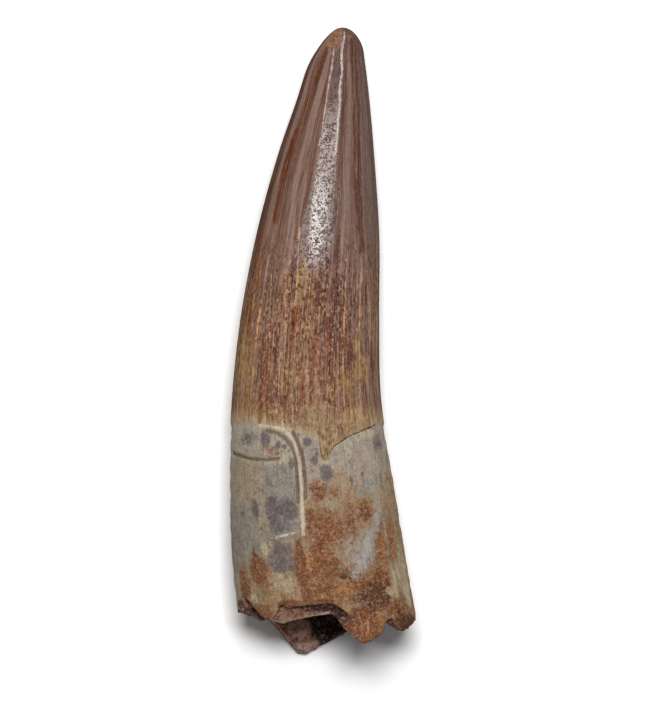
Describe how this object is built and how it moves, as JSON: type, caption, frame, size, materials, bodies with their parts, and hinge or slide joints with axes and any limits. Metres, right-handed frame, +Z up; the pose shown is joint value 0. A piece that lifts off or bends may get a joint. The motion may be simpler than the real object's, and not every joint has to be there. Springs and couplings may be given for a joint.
{
  "type": "spinosaur tooth fossil",
  "caption": "Curved, fluted conical tooth of a spinosaur, petrified, with its brown enamel crown on a hollow root that is broken off below.",
  "frame": {"origin": "centre of the bounding box, on the surface that the tooth lies on", "axes": "+Y along the tooth, from the broken root to the tip; +Z up, out of the domed face that is looked at; +X to the concave side of the crown"},
  "size_m": [0.0294, 0.1, 0.0221],
  "materials": {
    "fossil_tooth": "semi-gloss enamel, matt root"
  },
  "bodies": {
    "root": {"tooth": "fossil_tooth"}
  },
  "joints": []
}
